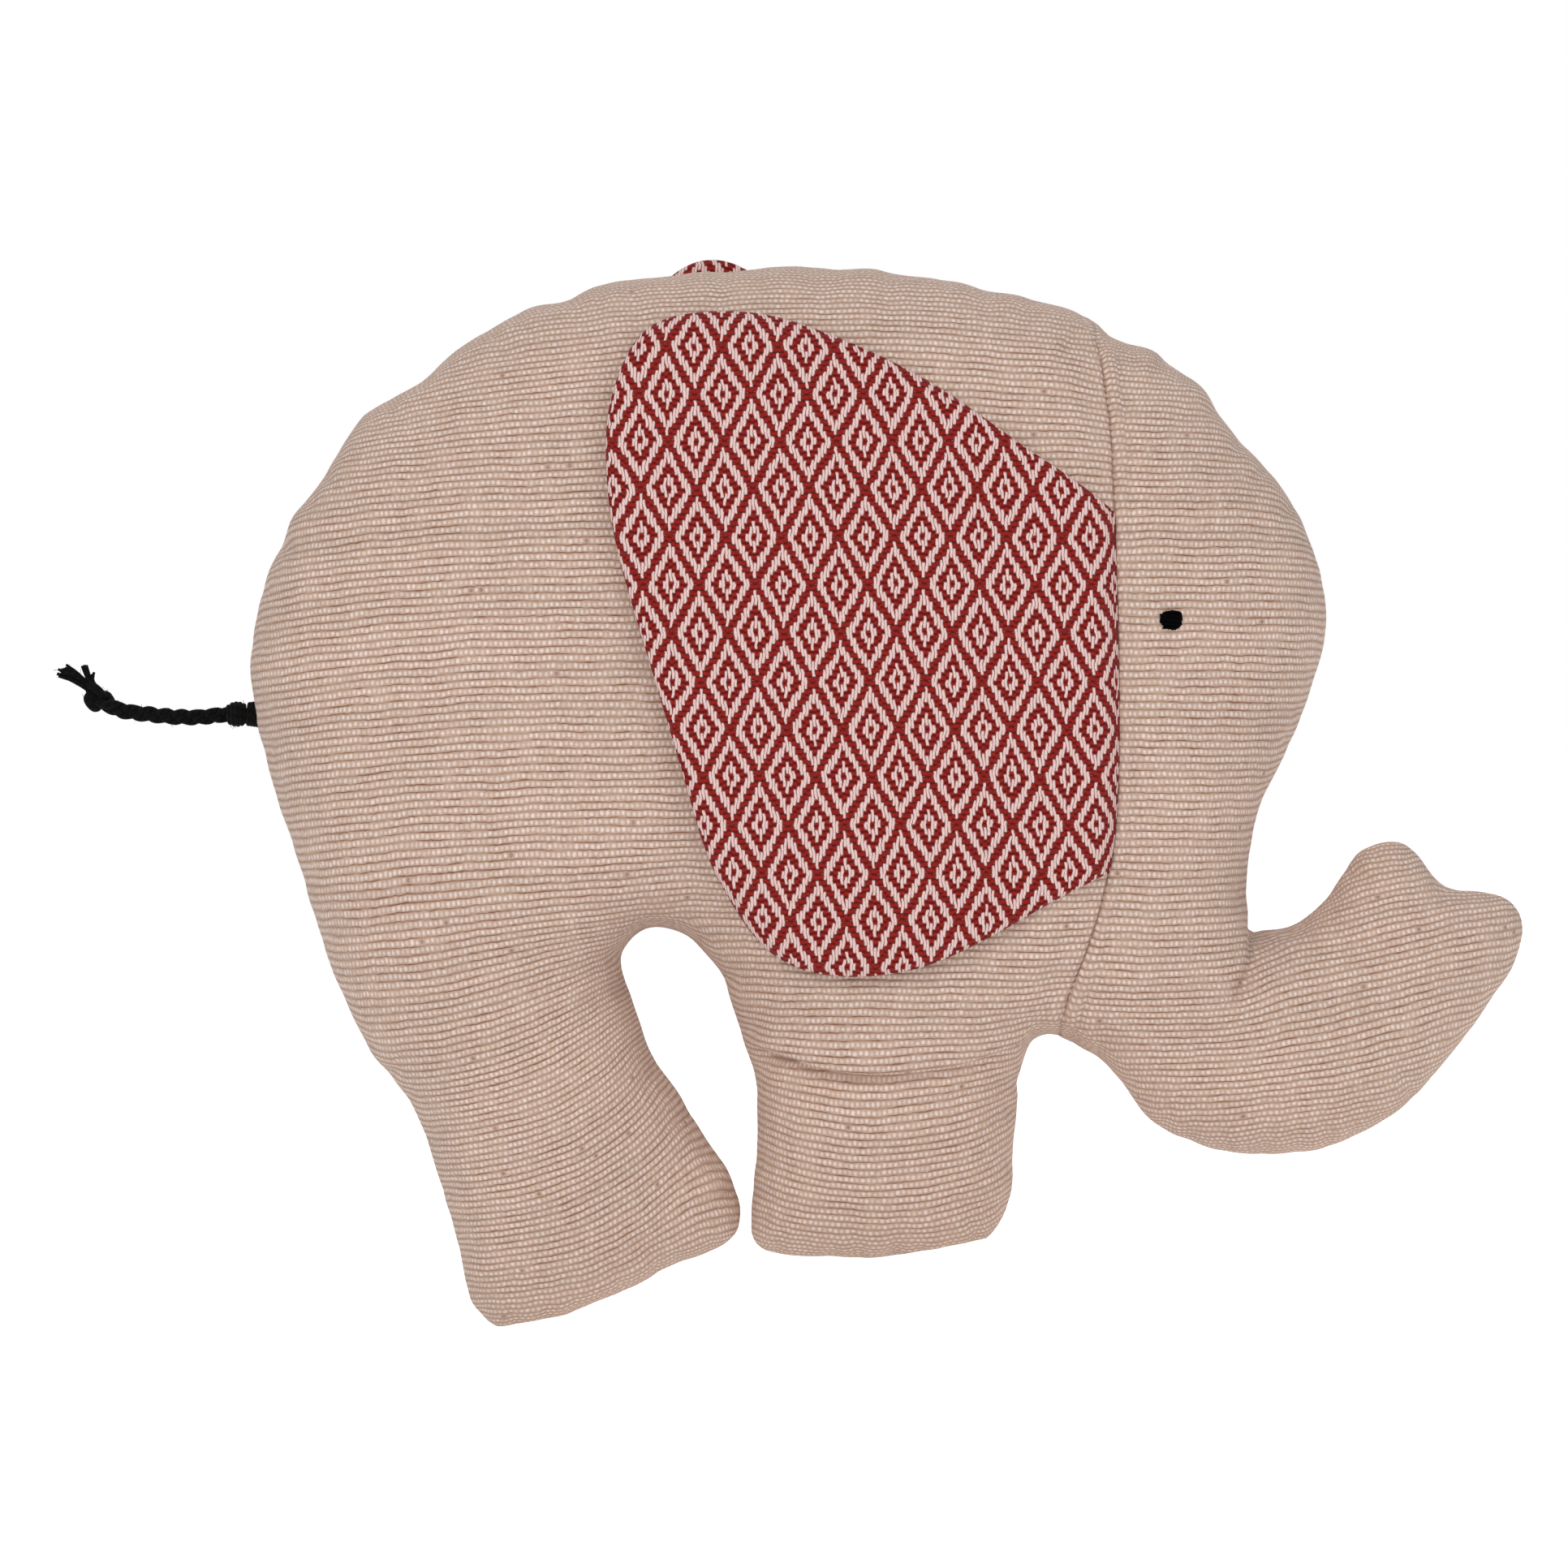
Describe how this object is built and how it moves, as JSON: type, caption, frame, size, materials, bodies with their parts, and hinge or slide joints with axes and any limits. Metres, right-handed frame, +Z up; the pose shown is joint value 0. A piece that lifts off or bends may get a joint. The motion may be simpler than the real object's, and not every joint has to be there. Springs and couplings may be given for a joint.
{
  "type": "stuffed toy elephant",
  "caption": "Flat-sewn stuffed elephant in ribbed hand-woven cloth, with loose patterned ear flaps, an upturned trunk and a plaited yarn tail.",
  "frame": {"origin": "on the floor, below the middle of the body, with the tail left out", "axes": "+X towards the head, +Z up, Y = 0 is the plane of the seam round the silhouette"},
  "size_m": [0.3083, 0.0884, 0.2247],
  "materials": {
    "body_cloth": "ribbed hand-woven cotton, matt",
    "ear_cloth": "diamond-woven cotton in red and pink, matt",
    "stuffing": "loose fibre filling",
    "thread": "sewing thread",
    "black_yarn": "black wool yarn"
  },
  "bodies": {
    "body": {"body_panel_right": "body_cloth", "body_panel_left": "body_cloth", "head_panel_right": "body_cloth", "head_panel_left": "body_cloth", "stuffing_barrel": "stuffing", "stuffing_head": "stuffing", "stuffing_trunk": "stuffing", "stuffing_front_leg": "stuffing", "stuffing_rear_leg": "stuffing", "rim_thread_body": "thread", "rim_thread_head": "thread", "neck_thread_right": "thread", "neck_thread_left": "thread", "eye_right": "black_yarn", "eye_left": "black_yarn", "tail_anchor": "black_yarn"},
    "ear_right": {"ear_right_face": "ear_cloth", "ear_right_lining": "ear_cloth"},
    "ear_left": {"ear_left_face": "ear_cloth", "ear_left_lining": "ear_cloth"},
    "tail_base": {"tail_root": "black_yarn"},
    "tail": {"tail_cord": "black_yarn", "tail_knot": "black_yarn", "tail_tuft": "black_yarn"}
  },
  "joints": [
    {"name": "ear_right_flap", "type": "hinge", "parent": "body", "child": "ear_right", "pos_m": [0.0541, -0.0387, 0.11497], "axis": [0.1788, 0, 0.9839], "range_deg": [0, 120], "stiffness_Nm_per_rad": 0.002},
    {"name": "ear_left_flap", "type": "hinge", "parent": "body", "child": "ear_left", "pos_m": [0.0541, 0.0387, 0.11497], "axis": [-0.1788, 0, -0.9839], "range_deg": [0, 120], "stiffness_Nm_per_rad": 0.002},
    {"name": "tail_sway", "type": "hinge", "parent": "body", "child": "tail_base", "pos_m": [-0.1378, 0, 0.14456], "axis": [0, 0, 1], "range_deg": [-75, 75], "stiffness_Nm_per_rad": 0.004},
    {"name": "tail_lift", "type": "hinge", "parent": "tail_base", "child": "tail", "pos_m": [-0.1378, 0, 0.14456], "axis": [0, 1, 0], "range_deg": [-75, 75], "stiffness_Nm_per_rad": 0.004}
  ]
}
